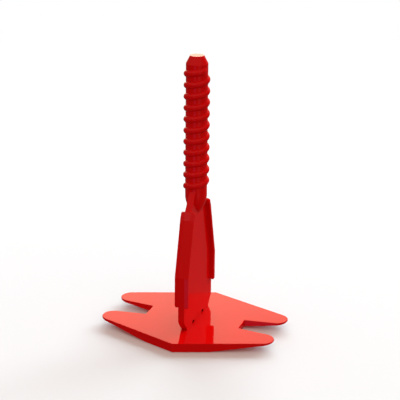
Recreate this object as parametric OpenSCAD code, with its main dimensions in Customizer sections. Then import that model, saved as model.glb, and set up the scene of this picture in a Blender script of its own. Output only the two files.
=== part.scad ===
// Tile levelling clip: one moulded piece that holds two neighbouring tiles level while they set.
// The plate lies under both tiles and the blade stands in the joint between them. A knob screwed
// on to the stem presses the tiles down, and the blade snaps off at its foot afterwards.
// Millimetres, +Z up. The plate lies on z = 0, its length runs along X, the blade lies in the YZ plane.

/* [Base plate] */
// Length over the tongue tips
plate_length = 56.3; // [50:0.1:80]
// Width over the two side corners
plate_width = 41.6; // [36:0.1:60]
// Thickness of the middle
plate_thickness = 2.8; // [2:0.1:5]
// Length of the flat middle of the underside
plate_flat = 21; // [10:0.5:28]
// Thickness left at the tongue tips
tip_thickness = 0.5; // [0.3:0.1:1.5]
// Radius of the round tongue tips
tip_radius = 3.6; // [2:0.1:4.5]
// Depth of the notch in each end
notch_depth = 12.7; // [8:0.1:16]
// Width of a notch at its inner end
notch_width = 6.3; // [3:0.1:8]
// Clear width between two tongue tips
notch_mouth = 8.4; // [6:0.1:10]

/* [Blade] */
// Thickness of the blade, which sets the width of the joint
blade_thickness = 2; // [1:0.1:3]
// Width of the blade
blade_width = 25.7; // [22:0.1:32]
// Width of the foot, where the blade breaks off
foot_width = 20; // [14:0.1:22]
// Height of the slanted sides above the foot
foot_height = 3.5; // [2:0.1:6]
// Radius between the slanted and the upright sides
foot_radius = 2.5; // [0.5:0.1:4]
// Diameter of the two break holes
hole_diameter = 1.9; // [1:0.1:3]
// Distance between the break holes
hole_spacing = 8.6; // [5:0.1:11]

/* [Wings] */
// Thickness across the blade
wing_thickness = 4.4; // [3.4:0.1:6]
// Depth of a wing from the edge of the blade inwards
wing_depth = 1.3; // [0.9:0.1:2.5]
// How far the outer corners lie back from the edge of the blade
wing_setback = 0.2; // [0.1:0.05:0.6]
// Height of the lower ends above the plate
wing_bottom = 8.4; // [7:0.1:12]
// Height above the plate at which the edges start to lean in
lean_height = 18.2; // [14:0.1:24]
// Height above the plate of the second bend
crown_height = 35.3; // [30:0.1:36]
// Width over the wings at the second bend
crown_width = 16.5; // [15:0.1:20]
// Height of the upper ends above the plate
wing_top = 37.7; // [36.5:0.1:38.5]
// Width over the wings at their upper ends
wing_top_width = 14.5; // [12:0.1:15]
// Radius of the round corners at both ends of a wing
wing_radius = 0.5; // [0.2:0.1:1]

/* [Stem] */
// Diameter of the plain stem, which is also the thread's core
stem_diameter = 6.7; // [6:0.1:7.4]
// Height of the stem's end above the plate
stem_height = 84.6; // [84:0.1:110]
// Height above the plate at which the blade's shoulders meet the stem
shoulder_height = 42.8; // [41.5:0.1:43]
// Height above the plate at which the stem starts to draw in
foot_start = 41.2; // [40:0.1:41.3]
// Length over which the stem draws in to a rounded point
foot_length = 6.6; // [4:0.1:8]
// Diameter of the flat end
end_diameter = 3.9; // [3:0.1:5.5]
// Height of the chamfer below the flat end
end_height = 2.5; // [1:0.1:3]

/* [Thread] */
// Diameter over the ridge
thread_diameter = 8; // [7.8:0.1:9]
// Rise in one turn
thread_pitch = 3.5; // [3:0.1:5]
// Width of the ridge where it leaves the core
ridge_width = 2; // [1.6:0.1:2.6]
// Height above the plate at which the ridge starts
thread_start = 43.7; // [43.7:0.1:50]
// Height above the plate at which the ridge ends
thread_end = 80.6; // [60:0.1:80.9]

/* [Hidden] */

$fn = 96;
// cutting shapes run past what they cut by this much, and fused shapes reach as far into each other
over = 1;

stem_r = stem_diameter / 2;
tip_centre = [plate_length / 2 - tip_radius, notch_mouth / 2 + tip_radius];
side_corner = [0, plate_width / 2];
notch_corner = [plate_length / 2 - notch_depth, notch_width / 2];

// half of the blade's edge, from the bend above the foot to the shoulder
edge = [
    [blade_width / 2, lean_height],
    [crown_width / 2, crown_height],
    [wing_top_width / 2, wing_top],
];
foot_slant = atan2((blade_width - foot_width) / 2, foot_height);
lean = atan2((blade_width - crown_width) / 2, crown_height - lean_height);
// the shoulders run on inside the stem and meet on its axis at this height
apex = wing_top + (shoulder_height - wing_top) * edge[2].x / (edge[2].x - stem_r);

// radius of the arc along which the stem draws in
draw_r = (pow(stem_r, 2) + pow(foot_length, 2)) / (2 * stem_r);

// round ridge: an arc over the core, carried a little way into it
ridge_height = (thread_diameter - stem_diameter) / 2;
ridge_r = (pow(ridge_width / 2, 2) + pow(ridge_height, 2)) / (2 * ridge_height);
ridge_sink = 0.25;
ridge_spread = acos(1 - (ridge_height + ridge_sink) / ridge_r);
ridge_steps = 6;
turn_steps = 30;
ridge_turns = (thread_end - thread_start) / thread_pitch;
ridge_rings = ceil(ridge_turns * turn_steps);
// the ridge's first ring stands on this side of the stem
start_angle = 165;
// share of a turn over which the ridge sinks into the core at either end
fade_turn = 0.12;

function turned(v, a) = [v.x * cos(a) - v.y * sin(a), v.x * sin(a) + v.y * cos(a)];
// point where the line from p touches a circle: side 1 lies clockwise of the line to the centre, -1 the other way
function touch(p, c, r, side) = c + turned(r * (p - c) / norm(p - c), side * acos(r / norm(p - c)));

// mirrors what is drawn for +X, +Y into all four quarters
module in_quarters() {
    for (x = [0, 1], y = [0, 1])
        mirror([x, 0])
            mirror([0, y])
                children();
}

// draws for +Y and once more for -Y
module on_both_sides() {
    for (y = [0, 1])
        mirror([0, y, 0])
            children();
}

// lays an outline drawn as (y, z) across the X axis
module across(width) {
    rotate([90, 0, 90])
        translate([0, 0, -width / 2])
            linear_extrude(height = width)
                children();
}

module plate_outline() {
    in_quarters() {
        polygon([
            [0, 0],
            side_corner,
            touch(side_corner, tip_centre, tip_radius, -1),
            touch(notch_corner, tip_centre, tip_radius, 1),
            notch_corner,
            [notch_corner.x, 0],
        ]);
        translate(tip_centre)
            circle(tip_radius);
    }
}

// what the underside rises through from the flat middle to the tips
module underside_cut() {
    rise = plate_thickness - tip_thickness;
    run = (plate_length - plate_flat) / 2;
    for (x = [0, 1])
        mirror([x, 0, 0])
            rotate([90, 0, 0])
                translate([0, 0, -plate_width])
                    linear_extrude(height = 2 * plate_width)
                        polygon([
                            [plate_flat / 2, 0],
                            [plate_length / 2 + over, rise * (run + over) / run],
                            [plate_length / 2 + over, -over],
                            [plate_flat / 2, -over],
                        ]);
}

module plate() {
    difference() {
        linear_extrude(height = plate_thickness)
            plate_outline();
        underside_cut();
    }
}

// outline of the blade as (y, z) above the plate's top
module blade_outline() {
    bend = foot_radius * tan(foot_slant / 2);
    upright = [blade_width / 2, foot_height + bend];
    slanted = [blade_width / 2, foot_height] - bend * [sin(foot_slant), cos(foot_slant)];
    for (y = [0, 1])
        mirror([y, 0]) {
            polygon(concat(
                [[0, -over], [foot_width / 2, -over], [foot_width / 2, 0], slanted, upright],
                edge,
                [[0, apex]]
            ));
            translate([blade_width / 2 - foot_radius, foot_height + bend])
                circle(foot_radius);
        }
}

module blade() {
    difference() {
        across(blade_thickness)
            blade_outline();
        for (y = [-1, 1])
            translate([0, y * hole_spacing / 2, 0])
                rotate([0, 90, 0])
                    cylinder(h = blade_thickness + 2 * over, d = hole_diameter, center = true);
    }
}

// band along the blade's edge, as (y, z), from which both faces of a wing stand out
module wing_band() {
    difference() {
        polygon(concat([[0, wing_bottom], [blade_width / 2, wing_bottom]], edge, [[0, wing_top]]));
        polygon(concat(
            [[0, wing_bottom - over], [blade_width / 2 - wing_depth, wing_bottom - over]],
            [for (p = edge) p - [wing_depth, 0]],
            [[edge[2].x - wing_depth, wing_top + over], [0, wing_top + over]]
        ));
    }
}

// long bar whose outer side lies on the line from p to q, as (y, z): flat in the middle, its corners set back
module leaning_bar(p, q) {
    reach = blade_width + wing_top;
    translate([0, p.x, p.y])
        rotate([atan2(p.x - q.x, q.y - p.y), 0, 0])
            linear_extrude(height = 2 * reach, center = true)
                polygon([
                    [-blade_thickness / 2, 0],
                    [blade_thickness / 2, 0],
                    [wing_thickness / 2, -wing_setback],
                    [wing_thickness / 2, -reach],
                    [-wing_thickness / 2, -reach],
                    [-wing_thickness / 2, -wing_setback],
                ]);
}

// end of a wing, as seen along the Y axis: a bar that comes up to z = 0 and has two round corners there
module round_end() {
    half = wing_thickness / 2;
    rotate([90, 0, 0])
        linear_extrude(height = 2 * blade_width, center = true) {
            translate([-half, -wing_top])
                square([wing_thickness, wing_top - wing_radius]);
            translate([wing_radius - half, -wing_top])
                square([wing_thickness - 2 * wing_radius, wing_top]);
            for (x = [-1, 1])
                translate([x * (half - wing_radius), -wing_radius])
                    circle(wing_radius);
        }
}

module wing() {
    intersection() {
        across(wing_thickness)
            wing_band();
        // the upper end is square to the leaning edge, the lower one is level
        translate([0, edge[2].x, wing_top])
            rotate([lean, 0, 0])
                round_end();
        translate([0, 0, wing_bottom])
            mirror([0, 0, 1])
                round_end();
        leaning_bar([blade_width / 2, wing_bottom], edge[0]);
        leaning_bar(edge[0], edge[1]);
        leaning_bar(edge[1], edge[2]);
    }
}

// round stem, from the rounded point that runs out on the blade's faces to the chamfered end
module stem() {
    translate([0, 0, foot_start])
        rotate_extrude() {
            intersection() {
                translate([stem_r - draw_r, 0])
                    circle(draw_r);
                translate([0, -foot_length])
                    square([stem_r, foot_length]);
            }
            polygon([
                [0, 0],
                [stem_r, 0],
                [stem_r, stem_height - end_height - foot_start],
                [end_diameter / 2, stem_height - foot_start],
                [0, stem_height - foot_start],
            ]);
        }
}

// section of the ridge as (radius, height), sunk by the depth d
function ridge_section(d) = concat(
    [for (i = [0 : ridge_steps])
        let (a = ridge_spread * (2 * i / ridge_steps - 1))
        [thread_diameter / 2 - ridge_r * (1 - cos(a)) - d, ridge_r * sin(a)]],
    [[stem_r - 2 * ridge_height - ridge_sink, ridge_r * sin(ridge_spread)],
     [stem_r - 2 * ridge_height - ridge_sink, -ridge_r * sin(ridge_spread)]]
);

// how deep the ridge lies at the share t of its length
function ridge_depth(t) =
    let (from_end = min(t, 1 - t) * ridge_turns)
    (ridge_height + ridge_sink / 2) * max(0, 1 - from_end / fade_turn);

module ridge() {
    sides = ridge_steps + 3;
    points = [
        for (i = [0 : ridge_rings])
            let (t = i / ridge_rings, a = start_angle + 360 * ridge_turns * t)
            for (p = ridge_section(ridge_depth(t)))
                [p.x * cos(a), p.x * sin(a), thread_start + t * (thread_end - thread_start) + p.y]
    ];
    walls = [
        for (i = [0 : ridge_rings - 1], j = [0 : sides - 1])
            let (k = (j + 1) % sides, low = i * sides, high = low + sides)
            each [[low + j, low + k, high + k], [low + j, high + k, high + j]]
    ];
    first = [for (j = [sides - 1 : -1 : 0]) j];
    last = [for (j = [0 : sides - 1]) ridge_rings * sides + j];
    polyhedron(points, concat(walls, [first, last]));
}

module levelling_clip() {
    color("crimson") {
        plate();
        translate([0, 0, plate_thickness]) {
            blade();
            on_both_sides()
                wing();
            stem();
            ridge();
        }
    }
}

levelling_clip();
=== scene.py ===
# %% [markdown]
# # A moulded tile levelling clip
# Tilers push this red plastic clip under two neighbouring tiles. The plate lies below them, the blade
# stands in the joint, and a knob on the threaded stem presses the tiles level. It is one injection
# moulding, so this lesson models its forms one by one, rounds their edges and then fuses them into a
# single piece.
#
# The CAD solid is loaded first. It gives the frame in which everything is placed, in metres.

# %% Load the CAD frame
import math

import bmesh
import bpy
from mathutils import Matrix, Vector


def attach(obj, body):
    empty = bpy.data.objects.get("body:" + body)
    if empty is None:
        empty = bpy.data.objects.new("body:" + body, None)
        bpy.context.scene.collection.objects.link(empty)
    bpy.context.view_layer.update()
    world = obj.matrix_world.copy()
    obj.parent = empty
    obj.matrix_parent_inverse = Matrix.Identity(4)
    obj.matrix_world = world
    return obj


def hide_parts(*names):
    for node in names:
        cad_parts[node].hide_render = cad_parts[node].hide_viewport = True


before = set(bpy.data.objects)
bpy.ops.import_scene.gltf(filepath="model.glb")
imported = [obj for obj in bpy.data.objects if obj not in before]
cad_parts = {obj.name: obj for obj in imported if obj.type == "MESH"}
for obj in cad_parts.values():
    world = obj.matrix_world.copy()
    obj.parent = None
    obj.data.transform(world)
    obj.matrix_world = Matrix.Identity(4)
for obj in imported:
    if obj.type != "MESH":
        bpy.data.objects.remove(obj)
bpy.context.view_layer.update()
MM = 0.001

# %% [markdown]
# ## Camera
# The photograph was taken with a long lens from a little above. Its place came from lines and corners
# that show on the clip. An orbit camera is set by two angles, a distance, a point to look at and a slight
# roll.

# %% Camera
AZIMUTH, ELEVATION, ROLL = (math.radians(a) for a in (19.096, 19.561, 0.5645))
CAMERA_DISTANCE = 395.77 * MM
AIM_SIDE, AIM_HEIGHT = 1.2416 * MM, 42.08 * MM
FOCAL_LENGTH, SENSOR_WIDTH = 116.22, 36

level = Vector((math.cos(AZIMUTH), math.sin(AZIMUTH), 0))
back = Vector((
    math.sin(AZIMUTH) * math.cos(ELEVATION),
    -math.cos(AZIMUTH) * math.cos(ELEVATION),
    math.sin(ELEVATION),
))
upright = back.cross(level)
right = level * math.cos(ROLL) + upright * math.sin(ROLL)
up = upright * math.cos(ROLL) - level * math.sin(ROLL)

camera_data = bpy.data.cameras.new("camera")
camera_data.lens, camera_data.sensor_width = FOCAL_LENGTH, SENSOR_WIDTH
camera = bpy.data.objects.new("camera", camera_data)
bpy.context.scene.collection.objects.link(camera)
camera.matrix_world = (
    Matrix.Translation(level * AIM_SIDE + Vector((0, 0, AIM_HEIGHT)) + back * CAMERA_DISTANCE)
    @ Matrix((right, up, back)).transposed().to_4x4()
)
bpy.context.scene.camera = camera
print("camera at", [round(c, 4) for c in camera.matrix_world.translation])

# %% [markdown]
# ## Helpers for drawing outlines
# Every form on the clip starts as a line. Extruding a vertex draws a straight stretch, and spinning it
# round a centre draws an arc. That keeps arcs truly round, which a bevelled corner of an odd angle isn't.
# All forms are drawn in millimetres and scaled to metres at the end.

# %% Outline helpers
MERGE = 1e-4


def start_line(point):
    """Starts a bmesh with one vertex and returns both."""
    bm = bmesh.new()
    return bm, bm.verts.new(Vector(point))


def line_to(bm, vert, point):
    """Draws a straight edge from vert to point and returns the new end."""
    end = bmesh.ops.extrude_vert_indiv(bm, verts=[vert])["verts"][0]
    end.co = Vector(point)
    return end


def arc_round(bm, vert, centre, axis, angle, steps):
    """Spins vert round centre and returns the arc's end."""
    made = bmesh.ops.spin(bm, geom=[vert], cent=Vector(centre), axis=Vector(axis), angle=angle, steps=steps)
    return [g for g in made["geom_last"] if isinstance(g, bmesh.types.BMVert)][0]


def mirror_line(bm, axis):
    """Mirrors all that is drawn, and joins the halves where they meet."""
    bmesh.ops.mirror(bm, geom=bm.verts[:] + bm.edges[:], axis=axis, merge_dist=MERGE)
    bmesh.ops.remove_doubles(bm, verts=bm.verts[:], dist=MERGE)


def pull(bm, face, along, keep=False):
    """Extrudes face and returns the moved face and its corners. The old face goes unless keep is set."""
    made = bmesh.ops.extrude_face_region(bm, geom=[face])["geom"]
    verts = [g for g in made if isinstance(g, bmesh.types.BMVert)]
    if not keep:
        bmesh.ops.delete(bm, geom=[face], context="FACES_ONLY")
    bmesh.ops.translate(bm, verts=verts, vec=Vector(along))
    return [g for g in made if isinstance(g, bmesh.types.BMFace)][0], verts


def fill_and_pull(bm, along):
    """Fills the closed line with one face and pulls it into a solid."""
    face = bmesh.ops.contextual_create(bm, geom=bm.edges[:])["faces"][0]
    pull(bm, face, along, keep=True)
    bmesh.ops.recalc_face_normals(bm, faces=bm.faces[:])


print("points nearer than", MERGE, "mm count as one")

# %% [markdown]
# ## Rounded edges
# No moulded edge is razor sharp. A bevel of about a tenth of a millimetre gives each edge the thin line
# of light that tells the eye it is plastic. Only edges that really turn are picked, so arcs stay smooth.

# %% Edge rounding and hand-over to an object
SHARP_TURN = math.radians(6.5)
EDGE_SEGMENTS = 3


def round_edges(bm, radius):
    """Bevels every edge that turns sharply."""
    turning = [e for e in bm.edges if e.is_manifold and e.calc_face_angle() > SHARP_TURN]
    bmesh.ops.bevel(
        bm, geom=turning, offset=radius, offset_type="OFFSET", affect="EDGES", segments=EDGE_SEGMENTS,
        profile=0.5, material=-1, clamp_overlap=True, miter_outer="SHARP", miter_inner="SHARP",
    )


def to_object(bm, name):
    """Turns the bmesh into an object, still in millimetres."""
    mesh = bpy.data.meshes.new(name)
    bm.to_mesh(mesh)
    bm.free()
    made = bpy.data.objects.new(name, mesh)
    bpy.context.scene.collection.objects.link(made)
    print(name, len(mesh.vertices), "vertices,", len(mesh.polygons), "faces")
    return made


print("edges that turn by more than", round(math.degrees(SHARP_TURN), 1), "degrees are rounded")

# %% [markdown]
# ## Base plate
# The plate is a flat hexagon with a notch in each end, which leaves four round tongues. One quarter of
# its outline is drawn and mirrored twice. The sides of a tongue run tangent into its tip, so the two
# points where the lines touch the tip's circle are worked out first.

# %% Base plate outline
PLATE_LENGTH, PLATE_WIDTH, PLATE_THICKNESS = 56.3, 41.6, 2.8
TIP_RADIUS, TIP_STEPS = 3.6, 32
NOTCH_DEPTH, NOTCH_WIDTH, NOTCH_MOUTH = 12.7, 6.3, 8.4

tip_centre = Vector((PLATE_LENGTH / 2 - TIP_RADIUS, NOTCH_MOUTH / 2 + TIP_RADIUS, 0))
side_corner = Vector((0, PLATE_WIDTH / 2, 0))
notch_corner = Vector((PLATE_LENGTH / 2 - NOTCH_DEPTH, NOTCH_WIDTH / 2, 0))


def touch_angle(point, side):
    """Direction, seen from the tip's centre, in which a line from point touches the tip's circle."""
    away = point - tip_centre
    return math.atan2(away.y, away.x) + side * math.acos(TIP_RADIUS / away.length)


outer, inner = touch_angle(side_corner, -1), touch_angle(notch_corner, 1)
sweep = (inner - outer) % (2 * math.pi) - 2 * math.pi
plate, end = start_line(side_corner)
end = line_to(plate, end, tip_centre + TIP_RADIUS * Vector((math.cos(outer), math.sin(outer), 0)))
end = arc_round(plate, end, tip_centre, (0, 0, 1), sweep, TIP_STEPS)
end = line_to(plate, end, notch_corner)
end = line_to(plate, end, (notch_corner.x, 0, 0))
mirror_line(plate, "X")
mirror_line(plate, "Y")
fill_and_pull(plate, (0, 0, PLATE_THICKNESS))
print("tongue tips turn through", round(math.degrees(-sweep), 1), "degrees")

# %% [markdown]
# The underside is flat in the middle and rises to thin tips, so that the tongues slide easily under a
# tile. A bisecting plane cuts each slope, and the cut is filled again.

# %% Base plate slopes
PLATE_FLAT, TIP_THICKNESS = 21, 0.5
PLATE_EDGE = 0.15
CUT_TOLERANCE = 1e-5

rise, run = PLATE_THICKNESS - TIP_THICKNESS, (PLATE_LENGTH - PLATE_FLAT) / 2
for side in (1, -1):
    bmesh.ops.bisect_plane(
        plate, geom=plate.verts[:] + plate.edges[:] + plate.faces[:], dist=CUT_TOLERANCE,
        plane_co=(side * PLATE_FLAT / 2, 0, 0), plane_no=(side * rise, 0, -run), clear_outer=True,
    )
    bmesh.ops.contextual_create(plate, geom=[e for e in plate.edges if e.is_boundary])
bmesh.ops.recalc_face_normals(plate, faces=plate.faces[:])
round_edges(plate, PLATE_EDGE)
plate_part = to_object(plate, "base_plate")

# %% [markdown]
# ## Blade
# The blade is a thin upright sheet. Its foot is narrower than the rest, and two half-round holes weaken
# it there, because the clip is kicked off once the adhesive has set. It is drawn from the middle of the
# foot outwards and up to the shoulder, mirrored, and pulled to its thickness. A little of it reaches into
# the plate, so that the two fuse well.

# %% Blade
BLADE_THICKNESS, BLADE_WIDTH = 2.0, 25.7
FOOT_WIDTH, FOOT_HEIGHT, FOOT_RADIUS = 20, 3.5, 2.5
HOLE_RADIUS, HOLE_OFFSET = 0.95, 4.3
EDGE_LINE = [(12.85, 18.2), (8.25, 35.3), (7.25, 37.7)]
STEM_RADIUS, SHOULDER_HEIGHT = 3.35, 42.8
ROOT = 0.6
BLADE_EDGE = 0.12
ARC_STEPS = 13

half = BLADE_WIDTH / 2
slant = math.atan2(half - FOOT_WIDTH / 2, FOOT_HEIGHT)
bend = FOOT_RADIUS * math.tan(slant / 2)
corner = Vector((0, half, FOOT_HEIGHT))

lean_in = (SHOULDER_HEIGHT - EDGE_LINE[-1][1]) / (EDGE_LINE[-1][0] - STEM_RADIUS)
apex = EDGE_LINE[-1][1] + EDGE_LINE[-1][0] * lean_in

blade, end = start_line((0, 0, -ROOT))
below = math.asin(ROOT / 2 / HOLE_RADIUS)
rim = HOLE_RADIUS * math.cos(below)
for point in [(HOLE_OFFSET - rim, -ROOT), (HOLE_OFFSET - rim, -ROOT / 2)]:
    end = line_to(blade, end, (0, *point))
end = arc_round(blade, end, (0, HOLE_OFFSET, 0), (1, 0, 0), -math.pi - 2 * below, ARC_STEPS)
for point in [(HOLE_OFFSET + rim, -ROOT), (FOOT_WIDTH / 2 - ROOT * math.tan(slant), -ROOT)]:
    end = line_to(blade, end, (0, *point))
end = line_to(blade, end, corner - bend * Vector((0, math.sin(slant), math.cos(slant))))
end = arc_round(blade, end, (0, half - FOOT_RADIUS, FOOT_HEIGHT + bend), (1, 0, 0), slant, ARC_STEPS)
for point in EDGE_LINE + [(0, apex)]:
    end = line_to(blade, end, (0, *point))
mirror_line(blade, "Y")
fill_and_pull(blade, (BLADE_THICKNESS, 0, 0))
bmesh.ops.translate(blade, verts=blade.verts[:], vec=(-BLADE_THICKNESS / 2, 0, PLATE_THICKNESS))
round_edges(blade, BLADE_EDGE)
blade_part = to_object(blade, "blade")

# %% [markdown]
# ## Wings
# Along both edges the blade swells to a wing, like the flange of a T. Its outer side is flat in the
# middle and falls back a little towards both corners. The section is one six-sided face, and extruding it
# from bend to bend makes the whole wing. The upper end is square to the leaning edge, so the last face is
# sheared.

# %% Wings
WING_THICKNESS, WING_DEPTH, WING_SETBACK, WING_BOTTOM = 4.4, 1.3, 0.2, 8.4
WING_PROUD = 0.02

face_y = half + WING_PROUD
wide = WING_THICKNESS / 2
section = [
    (BLADE_THICKNESS / 2, face_y), (wide, face_y - WING_SETBACK), (wide, face_y - WING_DEPTH),
    (-wide, face_y - WING_DEPTH), (-wide, face_y - WING_SETBACK), (-BLADE_THICKNESS / 2, face_y),
]
wings = bmesh.new()
tip = wings.faces.new([wings.verts.new((x, y, WING_BOTTOM)) for x, y in section])
here = Vector((0, half, WING_BOTTOM))
for step, (y, z) in enumerate(EDGE_LINE):
    there = Vector((0, y, z))
    tip, tip_verts = pull(wings, tip, there - here, keep=step == 0)
    here = there
lean = (EDGE_LINE[0][0] - EDGE_LINE[1][0]) / (EDGE_LINE[1][1] - EDGE_LINE[0][1])
for vert in tip_verts:
    vert.co += (EDGE_LINE[-1][0] - vert.co.y) * Vector((0, 0, -lean))
bmesh.ops.recalc_face_normals(wings, faces=wings.faces[:])
print("wings lean by", round(math.degrees(math.atan(lean)), 1), "degrees")

# %% [markdown]
# The corners of both ends are round. They are bevelled first with a larger radius, then all other edges
# with a small one. The second wing is the mirror image of the first.

# %% Wing corners
CORNER_RADIUS, CORNER_SEGMENTS = 0.5, 6
WING_EDGE = 0.12
SLACK = 0.01

near_top = (EDGE_LINE[-2][1] + EDGE_LINE[-1][1]) / 2


def on_corner(edge):
    """Whether an edge runs across the thin side of a wing at one of its ends."""
    low, high = sorted(v.co.z for v in edge.verts)
    at_end = high < WING_BOTTOM + SLACK or low > near_top
    return at_end and min(abs(v.co.x) for v in edge.verts) > wide - SLACK


bmesh.ops.bevel(
    wings, geom=[e for e in wings.edges if on_corner(e)], offset=CORNER_RADIUS, offset_type="OFFSET",
    affect="EDGES", segments=CORNER_SEGMENTS, profile=0.5, material=-1, clamp_overlap=True,
)
round_edges(wings, WING_EDGE)
bmesh.ops.translate(wings, verts=wings.verts[:], vec=(0, 0, PLATE_THICKNESS))
bmesh.ops.mirror(wings, geom=wings.verts[:] + wings.edges[:] + wings.faces[:], axis="Y", merge_dist=0)
bmesh.ops.recalc_face_normals(wings, faces=wings.faces[:])
wing_part = to_object(wings, "wings")

# %% [markdown]
# ## Stem
# The stem is round, so half of its outline is spun about the upright axis. Its foot draws in along an arc
# to a rounded point, which sinks into the blade and leaves a V on both faces. The other end has a long
# chamfer that helps the knob on.

# %% Stem
STEM_HEIGHT, END_RADIUS, END_HEIGHT = 84.6, 2.12, 2.4
STEM_FOOT, FOOT_LENGTH = 41.2, 6.6
STEM_STEPS = 96
STEM_EDGE = 0.05

draw_radius = (STEM_RADIUS ** 2 + FOOT_LENGTH ** 2) / (2 * STEM_RADIUS)
stem, end = start_line((0, 0, STEM_HEIGHT))
for r, z in [(END_RADIUS, STEM_HEIGHT), (STEM_RADIUS, STEM_HEIGHT - END_HEIGHT), (STEM_RADIUS, STEM_FOOT)]:
    end = line_to(stem, end, (r, 0, z))
draw_angle = math.asin(FOOT_LENGTH / draw_radius)
arc_round(stem, end, (STEM_RADIUS - draw_radius, 0, STEM_FOOT), (0, 1, 0), draw_angle, ARC_STEPS)
bmesh.ops.spin(
    stem, geom=stem.verts[:] + stem.edges[:], cent=(0, 0, 0), axis=(0, 0, 1), angle=2 * math.pi,
    steps=STEM_STEPS, use_merge=True,
)
bmesh.ops.remove_doubles(stem, verts=stem.verts[:], dist=MERGE)
bmesh.ops.translate(stem, verts=stem.verts[:], vec=(0, 0, PLATE_THICKNESS))
bmesh.ops.recalc_face_normals(stem, faces=stem.faces[:])
round_edges(stem, STEM_EDGE)
stem_part = to_object(stem, "stem")

# %% [markdown]
# ## Thread
# The thread is coarse and round, as plastic threads are. It shows in the outline, so it is modelled and
# isn't left to a bump map. Its section is an arc that stands on the stem and reaches a little into it. It
# is closed to a face and turned to where the ridge starts.

# %% Thread section
THREAD_RADIUS, THREAD_PITCH, RIDGE_WIDTH, RIDGE_SINK = 4.0, 3.5, 2.0, 0.25
THREAD_START, THREAD_END, START_ANGLE = 43.7, 80.6, math.radians(165)
RIDGE_STEPS, TURN_STEPS = 12, 60
FADE_STEPS = 7

ridge_height = THREAD_RADIUS - STEM_RADIUS
crest_radius = ((RIDGE_WIDTH / 2) ** 2 + ridge_height ** 2) / (2 * ridge_height)
spread = math.acos(1 - (ridge_height + RIDGE_SINK) / crest_radius)
step_turn, step_rise = 2 * math.pi / TURN_STEPS, THREAD_PITCH / TURN_STEPS
steps = round((THREAD_END - THREAD_START) / step_rise) - 2 * FADE_STEPS

ridge, end = start_line((
    THREAD_RADIUS - ridge_height - RIDGE_SINK, 0, -crest_radius * math.sin(spread),
))
arc_round(ridge, end, (THREAD_RADIUS - crest_radius, 0, 0), (0, 1, 0), -2 * spread, RIDGE_STEPS)
section_face = bmesh.ops.contextual_create(ridge, geom=ridge.verts[:])["faces"][0]
bmesh.ops.translate(ridge, verts=ridge.verts[:], vec=(0, 0, THREAD_START + FADE_STEPS * step_rise))
bmesh.ops.rotate(
    ridge, verts=ridge.verts[:], cent=(0, 0, 0),
    matrix=Matrix.Rotation(START_ANGLE + FADE_STEPS * step_turn, 3, "Z"),
)
print("thread has", round((THREAD_END - THREAD_START) / THREAD_PITCH, 2), "turns")

# %% [markdown]
# Spin takes a step along the axis with each step of its turn, which makes the helix. At both ends the
# ridge is extruded a few steps further while it sinks into the stem, as a moulded thread runs out.

# %% Thread helix and its run-outs
made = bmesh.ops.spin(
    ridge, geom=ridge.verts[:] + ridge.edges[:] + ridge.faces[:], cent=(0, 0, 0), axis=(0, 0, 1),
    dvec=(0, 0, step_rise), angle=steps * step_turn, steps=steps,
)
last_face = [g for g in made["geom_last"] if isinstance(g, bmesh.types.BMFace)][0]


def run_out(bm, cap, way):
    """Carries the ridge on while it sinks into the stem. way is 1 upwards and -1 downwards."""
    sink = (ridge_height + RIDGE_SINK / 2) / FADE_STEPS
    for _ in range(FADE_STEPS):
        cap, verts = pull(bm, cap, (0, 0, way * step_rise))
        bmesh.ops.rotate(bm, verts=verts, cent=(0, 0, 0), matrix=Matrix.Rotation(way * step_turn, 3, "Z"))
        outward = cap.calc_center_median() * Vector((1, 1, 0))
        bmesh.ops.translate(bm, verts=verts, vec=-sink * outward.normalized())


run_out(ridge, section_face, -1)
run_out(ridge, last_face, 1)
bmesh.ops.translate(ridge, verts=ridge.verts[:], vec=(0, 0, PLATE_THICKNESS))
bmesh.ops.recalc_face_normals(ridge, faces=ridge.faces[:])
ridge_part = to_object(ridge, "thread")

# %% [markdown]
# ## One moulding
# The forms overlap now, as pieces of clay pressed together would. A boolean union fuses them, so that the
# finished mesh has one closed skin and nothing inside.

# %% Fuse the forms
def evaluated_mesh(thing):
    """The mesh of an object with its modifiers applied."""
    bpy.context.view_layer.update()
    return bpy.data.meshes.new_from_object(thing.evaluated_get(bpy.context.evaluated_depsgraph_get()))


def fuse(parts, name):
    """Unites the parts into one new object and removes them."""
    body = parts[0]
    for other in parts[1:]:
        union = body.modifiers.new("union_" + other.name, "BOOLEAN")
        union.operation, union.solver, union.object = "UNION", "MANIFOLD", other
    fused = bpy.data.objects.new(name, evaluated_mesh(body))
    bpy.context.scene.collection.objects.link(fused)
    for part in parts:
        bpy.data.objects.remove(part)
    return fused


clip = fuse([plate_part, blade_part, wing_part, stem_part, ridge_part], "clip_moulding")
check = bmesh.new()
check.from_mesh(clip.data)
print("clip:", len(check.faces), "faces,", round(check.calc_volume()), "mm3,",
      sum(not e.is_manifold for e in check.edges), "open edges")
check.free()

# %% [markdown]
# Edges that turn sharply are marked, and weighted normals keep the large faces flat in the reflections
# while the rounded edges carry the turn. The modifier ignores very small areas, so it runs before the
# piece is scaled from millimetres to metres.

# %% Smooth shading and scale
CREASE = math.radians(35)

clip.data.shade_smooth()
clip.data.set_sharp_from_angle(angle=CREASE)
weighted = clip.modifiers.new("flat_faces", "WEIGHTED_NORMAL")
weighted.keep_sharp = True
finished = evaluated_mesh(clip)
clip.modifiers.clear()
clip.data = finished
finished.transform(Matrix.Scale(MM, 4))
finished.name = clip.name
print("clip is", round(max(v.co.z for v in finished.vertices) / MM, 2), "mm high")

# %% [markdown]
# The piece takes the place of the CAD node in the picture. The CAD solid stays behind it for the physics.

# %% Hand the piece to the frame
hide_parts("levelling_clip")
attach(clip, "root")
print(clip.name, "stands for levelling_clip")

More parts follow.
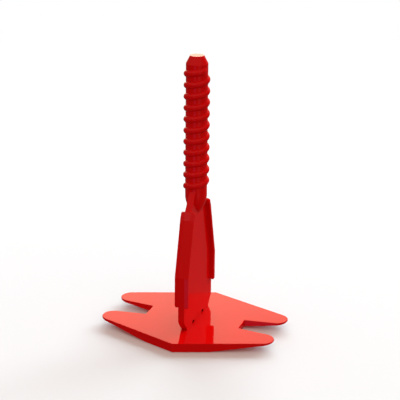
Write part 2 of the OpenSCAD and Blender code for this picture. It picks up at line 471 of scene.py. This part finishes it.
# %% [markdown]
# ## Red plastic
# Shader nodes make the finish. Adding and linking them one by one takes many lines, so a few helpers come
# first: each adds one kind of node, takes numbers or other nodes' results, and gives its own result back.

# %% Helpers for shader nodes
def feed(tree, sockets, values):
    """Links each value that is a node's result to its socket, and sets each other value on it."""
    for socket, value in zip(sockets, values):
        if isinstance(value, bpy.types.NodeSocket):
            tree.links.new(value, socket)
        else:
            socket.default_value = value


def math_at(tree, operation, *values):
    """Adds a calculation with numbers."""
    made = tree.nodes.new("ShaderNodeMath")
    made.operation = operation
    feed(tree, made.inputs, values)
    return made.outputs["Value"]


def vector_at(tree, operation, *values):
    """Adds a calculation with vectors."""
    made = tree.nodes.new("ShaderNodeVectorMath")
    made.operation = operation
    feed(tree, made.inputs, values)
    return made.outputs["Value" if operation in ("LENGTH", "DOT_PRODUCT") else "Vector"]


def ramp_at(tree, value, start, end, low=0.0, high=1.0, ease="LINEAR"):
    """Adds a ramp that turns the range from start to end into the range from low to high."""
    made = tree.nodes.new("ShaderNodeMapRange")
    made.interpolation_type = ease
    sockets = [made.inputs[name] for name in ("Value", "From Min", "From Max", "To Min", "To Max")]
    feed(tree, sockets, (value, start, end, low, high))
    return made.outputs["Result"]


def mix_at(tree, factor, first, second):
    """Adds a mix of two colours."""
    made = tree.nodes.new("ShaderNodeMix")
    made.data_type = "RGBA"
    feed(tree, [made.inputs[name] for name in ("Factor", "A", "B")], (factor, first, second))
    return made.outputs["Result"]


def noise_at(tree, place, scale, detail):
    """Adds a soft noise."""
    made = tree.nodes.new("ShaderNodeTexNoise")
    feed(tree, [made.inputs[name] for name in ("Vector", "Scale", "Detail")], (place, scale, detail))
    return made.outputs["Fac"]


def parts_of(tree, vector):
    """Splits a vector into its X, Y and Z."""
    made = tree.nodes.new("ShaderNodeSeparateXYZ")
    feed(tree, made.inputs, [vector])
    return made.outputs


print("node helpers are ready")

# %% [markdown]
# Hardly any light gets into the two break holes, so they look like dark dots. That shade is painted:
# the colour deepens from the blade's skin into them. A mask in object coordinates picks what is near
# enough to a hole's axis and below the skin. Absolute values fold both sides of the blade and both holes
# into one.

# %% Painted shade inside the break holes
HOLE_MARGIN = 0.03
HOLE_AXIS = Vector((0, HOLE_OFFSET, PLATE_THICKNESS)) * MM
HOLE_REACH = (HOLE_RADIUS + HOLE_MARGIN) * MM
SKIN, SKIN_DEPTH = BLADE_THICKNESS / 2 * MM, 0.15 * MM


def painted_hole_shade_mask(tree, place):
    """Gives 1 inside the two break holes, where shade is painted, and 0 elsewhere."""
    folded = vector_at(tree, "ABSOLUTE", place)
    across = vector_at(tree, "MULTIPLY", vector_at(tree, "SUBTRACT", folded, HOLE_AXIS), (0, 1, 1))
    near = math_at(tree, "LESS_THAN", vector_at(tree, "LENGTH", across), HOLE_REACH)
    deep = ramp_at(tree, parts_of(tree, folded)["X"], SKIN, SKIN - SKIN_DEPTH)
    return math_at(tree, "MULTIPLY", near, deep)


print("holes darken over", round(SKIN_DEPTH / MM, 2), "mm below the skin")

# %% [markdown]
# The plastic is glossy and coloured right through. Its gloss comes from the shader's own index of
# refraction. Noise in object coordinates gives what a clean moulding shows from close up: a hardly
# visible cloudiness of the colour, a gloss that varies a little, and a very shallow ripple of the skin.

# %% Red plastic
RED = (0.70, 0.0022, 0.0020, 1)
DEEP_RED = (0.64, 0.0016, 0.0016, 1)
# Painted shade: a dark red for the insides of the break holes, where little light gets in.
PAINTED_HOLE_SHADE = (0.22, 0.0006, 0.0006, 1)
PLASTIC_IOR = 1.25
GLOSSIEST, DULLEST = 0.02, 0.05
CLOUD, SHEEN, RIPPLE = (90.0, 3.0), (260.0, 4.0), (420.0, 2.0)
RIPPLE_STRENGTH, RIPPLE_DEPTH = 0.06, 0.0001


def red_plastic():
    """The clip's plastic. Each noise is a scale and its detail."""
    material = bpy.data.materials.new("red_plastic")
    material.use_nodes = True
    tree = material.node_tree
    place = tree.nodes.new("ShaderNodeTexCoord").outputs["Object"]

    cloudy = mix_at(tree, noise_at(tree, place, *CLOUD), DEEP_RED, RED)
    # Painted shade: the break holes get a darker colour in place of the light that doesn't reach them.
    colour = mix_at(tree, painted_hole_shade_mask(tree, place), cloudy, PAINTED_HOLE_SHADE)
    roughness = ramp_at(tree, noise_at(tree, place, *SHEEN), 0.0, 1.0, GLOSSIEST, DULLEST)
    bump = tree.nodes.new("ShaderNodeBump")
    sockets = [bump.inputs[name] for name in ("Height", "Strength", "Distance")]
    feed(tree, sockets, (noise_at(tree, place, *RIPPLE), RIPPLE_STRENGTH, RIPPLE_DEPTH))

    shader = tree.nodes["Principled BSDF"].inputs
    shader["IOR"].default_value = PLASTIC_IOR
    sockets = [shader[name] for name in ("Base Color", "Roughness", "Normal")]
    feed(tree, sockets, (colour, roughness, bump.outputs["Normal"]))
    return material


plastic = red_plastic()
clip.data.materials.clear()
clip.data.materials.append(plastic)
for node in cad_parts.values():
    for slot in node.material_slots:
        slot.material = plastic
print("material", plastic.name, "on", clip.name)

# %% [markdown]
# ## Floor
# The photograph has a white ground with a faint soft shadow. A pale plane gives both. It lies a hair
# below the clip and doesn't show in the clip's reflections, because the photograph's plastic mirrors no
# floor either.

# %% Floor
FLOOR_SIZE, FLOOR_DROP = 4.4, 0.0001

ground = bmesh.new()
bmesh.ops.create_grid(ground, x_segments=1, y_segments=1, size=FLOOR_SIZE / 2)
floor_mesh = bpy.data.meshes.new("floor")
ground.to_mesh(floor_mesh)
ground.free()
floor = bpy.data.objects.new("floor", floor_mesh)
bpy.context.scene.collection.objects.link(floor)
floor.location.z = -FLOOR_DROP
floor.visible_glossy = False
floor.visible_diffuse = False
print("floor", FLOOR_SIZE, "m wide")

# %% [markdown]
# Near the clip the floor is a plain matt colour, so that it takes the shadow. Further out it fades to
# pure white, because the lamps light it unevenly there and its rim would show from low viewpoints. Only
# the camera sees that white, so it sheds no light on the clip.

# %% Floor colour
FLOOR_COLOUR = (0.75, 0.75, 0.75, 1)
FADE_START, FADE_END = 0.13, 0.45


def pale_floor():
    """A matt floor that turns white far out."""
    material = bpy.data.materials.new("pale_floor")
    material.use_nodes = True
    tree = material.node_tree
    matt = tree.nodes["Principled BSDF"]
    sockets = [matt.inputs[name] for name in ("Base Color", "Roughness", "Specular IOR Level")]
    feed(tree, sockets, (FLOOR_COLOUR, 1.0, 0.0))
    white = tree.nodes.new("ShaderNodeEmission")
    white.inputs["Strength"].default_value = 1.0

    away = vector_at(tree, "LENGTH", tree.nodes.new("ShaderNodeTexCoord").outputs["Object"])
    fade = ramp_at(tree, away, FADE_START, FADE_END, ease="SMOOTHSTEP")
    camera_ray = tree.nodes.new("ShaderNodeLightPath").outputs["Is Camera Ray"]
    both = tree.nodes.new("ShaderNodeMixShader")
    share = math_at(tree, "MULTIPLY", fade, camera_ray)
    feed(tree, both.inputs, (share, matt.outputs["BSDF"], white.outputs["Emission"]))
    tree.links.new(both.outputs["Shader"], tree.nodes["Material Output"].inputs["Surface"])
    return material


floor_mesh.materials.append(pale_floor())
print("floor is white beyond", FADE_END, "m")

# %% [markdown]
# ## Light
# Soft light comes from all sides, more from above than from below. The world gives it, as a sky that dims
# below the horizon. Its tone is warm and the back lamp's is cool: where both fall the floor is white, and
# where the clip keeps the lamp off, its shadow is warm, as in the photograph.

# %% World: the light on the clip
SKY, BELOW = 0.6, 0.36
HORIZON_LOW, HORIZON_HIGH = -0.05, 0.1
WARM = (1.0, 0.78, 0.69)

world = bpy.data.worlds.new("studio")
bpy.context.scene.world = world
world.use_nodes = True
tree = world.node_tree
direction = tree.nodes.new("ShaderNodeTexCoord").outputs["Generated"]
heading = parts_of(tree, direction)
sky = ramp_at(tree, heading["Z"], HORIZON_LOW, HORIZON_HIGH, BELOW, SKY)
print("sky", SKY, "above and", BELOW, "below")

# %% [markdown]
# What glossy plastic mirrors matters as much as what lights it. For mirrored rays the world is a dim room
# with soft patches of light: a warm panel behind the clip, which the plate and the end of the stem
# mirror, a faint one beside it, and more faint ones in front for the upright faces. A patch is brightest
# in one direction and fades round it, the faster the sharper it is.

# %% World: what the clip mirrors
ROOM_LOW, ROOM_FRONT, ROOM_BACK = 0.08, 0.48, 0.1
ROOM_DEPTH, ROOM_RISE = 0.4, 0.3
PATCHES = {
    "warm panel behind": ((-0.37, 0.9, 0.227), 19, (3.6, 3.3, 2.4)),
    "faint panel behind": ((0.31, 0.87, 0.38), 25, (0.45, 0.45, 0.42)),
    "pale window in front": ((-0.03, -0.94, -0.34), 80, (0.25, 0.4, 1.0)),
    "faint panel right": ((0.66, -0.66, -0.34), 40, (0.4, 0.4, 0.4)),
    "faint panel left": ((-0.31, -0.86, 0.42), 60, (0.5, 0.5, 0.5)),
}

ceiling = ramp_at(tree, heading["Y"], -ROOM_DEPTH, ROOM_DEPTH, ROOM_FRONT, ROOM_BACK)
mirrored = ramp_at(tree, heading["Z"], 0.0, ROOM_RISE, ROOM_LOW, ceiling)
for name, (toward, sharpness, colour) in PATCHES.items():
    facing = vector_at(tree, "DOT_PRODUCT", direction, Vector(toward).normalized())
    glow = math_at(tree, "EXPONENT", math_at(tree, "MULTIPLY_ADD", facing, sharpness, -sharpness))
    mirrored = vector_at(tree, "MULTIPLY_ADD", glow, colour, mirrored)
    print("patch:", name)

# %% [markdown]
# The light path tells which kind of ray asks. Mirrored rays get the room, the camera itself sees plain
# white, and all others get the sky.

# %% World: which ray sees what
WHITE = (1, 1, 1, 1)

ray = tree.nodes.new("ShaderNodeLightPath").outputs
answer = vector_at(tree, "MULTIPLY", sky, WARM)
for asks, instead in (("Is Glossy Ray", mirrored), ("Is Camera Ray", WHITE)):
    answer = mix_at(tree, ray[asks], answer, instead)
tree.links.new(answer, tree.nodes["Background"].inputs["Color"])
print("world", world.name)

# %% [markdown]
# A very wide lamp stands low behind the clip. It brightens what faces up, and because it is low even the
# thin plate lays a soft shadow in front of it. A weaker one at the front right brings out the thread: it
# lights the upper side of each turn and leaves the lower side darker. The lamps don't show as mirror
# images.

# %% Lamps
LAMP_AWAY, LAMP_AIM = 2.5, Vector((0, 0, 0.02))
COOL = (0.76, 0.93, 1.0)


def soft_lamp(name, azimuth, rise, size, power, tint):
    """Adds an area lamp. Its azimuth counts from the front towards +X, as the camera's does."""
    turn, lift = math.radians(azimuth), math.radians(rise)
    way = Vector((math.sin(turn) * math.cos(lift), -math.cos(turn) * math.cos(lift), math.sin(lift)))
    data = bpy.data.lights.new(name, "AREA")
    data.shape = "RECTANGLE"
    data.size, data.size_y = size
    data.energy, data.color = power, tint
    lamp = bpy.data.objects.new(name, data)
    bpy.context.scene.collection.objects.link(lamp)
    lamp.location = LAMP_AIM + LAMP_AWAY * way
    lamp.rotation_euler = (-way).to_track_quat("-Z", "Y").to_euler()
    lamp.visible_camera = False
    lamp.visible_glossy = False
    print(name, [round(c, 2) for c in lamp.location], power, "W")


soft_lamp("back_lamp", azimuth=180, rise=20, size=(3.7, 1.6), power=203, tint=COOL)
soft_lamp("fill_lamp", azimuth=36, rise=48, size=(2.5, 2.5), power=13, tint=WARM)

# %% [markdown]
# ## Finish
# The picture uses the plain Standard view.

# %% Finish
bpy.context.scene.view_settings.view_transform = "Standard"
